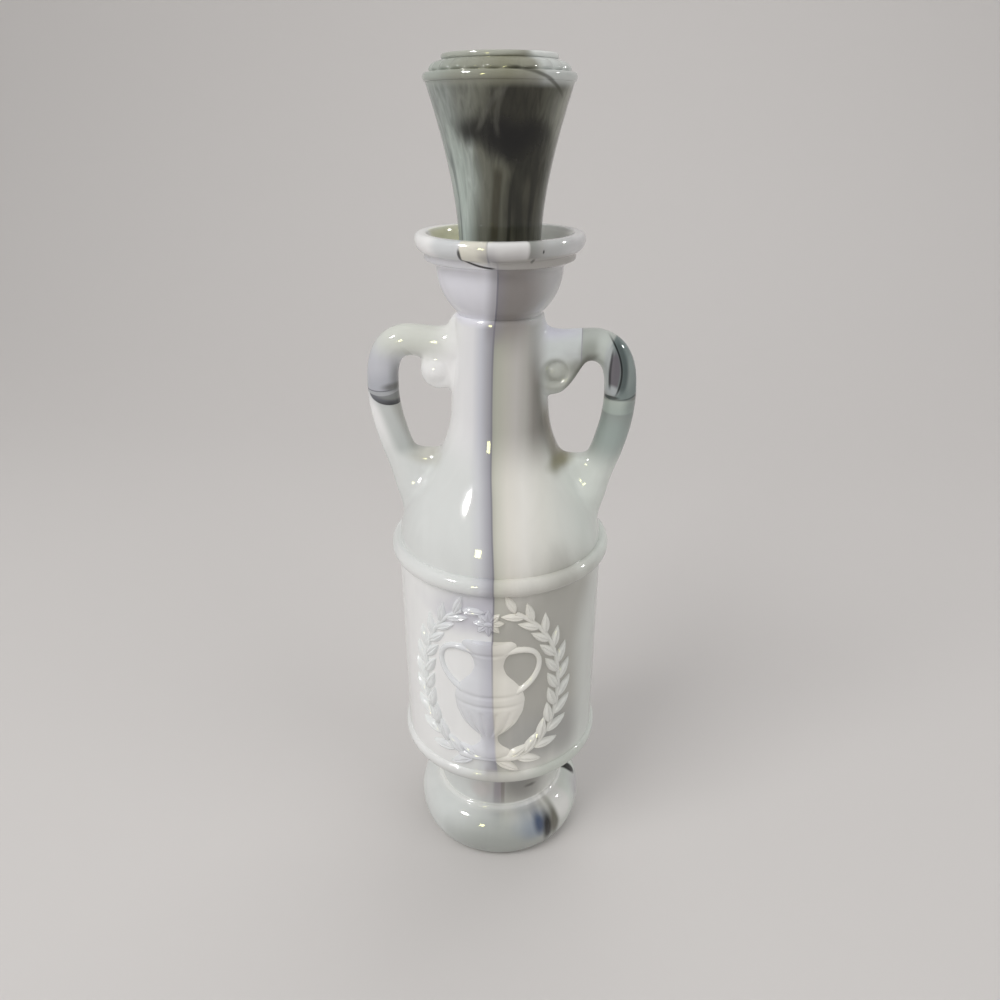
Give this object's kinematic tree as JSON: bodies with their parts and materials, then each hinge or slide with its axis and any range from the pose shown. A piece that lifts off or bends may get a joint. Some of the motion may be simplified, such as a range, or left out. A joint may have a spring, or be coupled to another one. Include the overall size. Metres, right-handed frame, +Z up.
{
  "type": "liquor decanter",
  "caption": "Tall two-handled decanter of marbled opal glass, with a drum body, cupped mouth, cushion foot and a flared glass stopper in a ribbed sealing sleeve.",
  "frame": {"origin": "centre of the ring that the foot rests on, on the bottle's axis", "axes": "+Z up along the bottle's axis, X through the two handles, the front of the panel facing -Y"},
  "size_m": [0.1052, 0.0906, 0.3284],
  "materials": {
    "opal_glass": "glossy fire-polished opal glass, white with grey-green and slate marbling",
    "smoky_glass": "glossy marbled glass, olive black swirled through grey green",
    "polyethylene": "natural white polyethylene, satin"
  },
  "bodies": {
    "bottle": {"foot": "opal_glass", "waist": "opal_glass", "drum": "opal_glass", "shoulder": "opal_glass", "neck": "opal_glass", "mouth": "opal_glass", "handle_right": "opal_glass", "handle_left": "opal_glass"},
    "sleeve": {"stopper_sleeve": "polyethylene"},
    "stopper": {"stopper_head": "smoky_glass"}
  },
  "joints": [
    {"name": "stopper_lift", "type": "slide", "parent": "bottle", "child": "sleeve", "axis": [0, 0, 1], "range_m": [0, 0.06]},
    {"name": "stopper_twist", "type": "hinge", "parent": "sleeve", "child": "stopper", "pos_m": [0, 0, 0.2516], "axis": [0, 0, 1], "continuous": true}
  ]
}
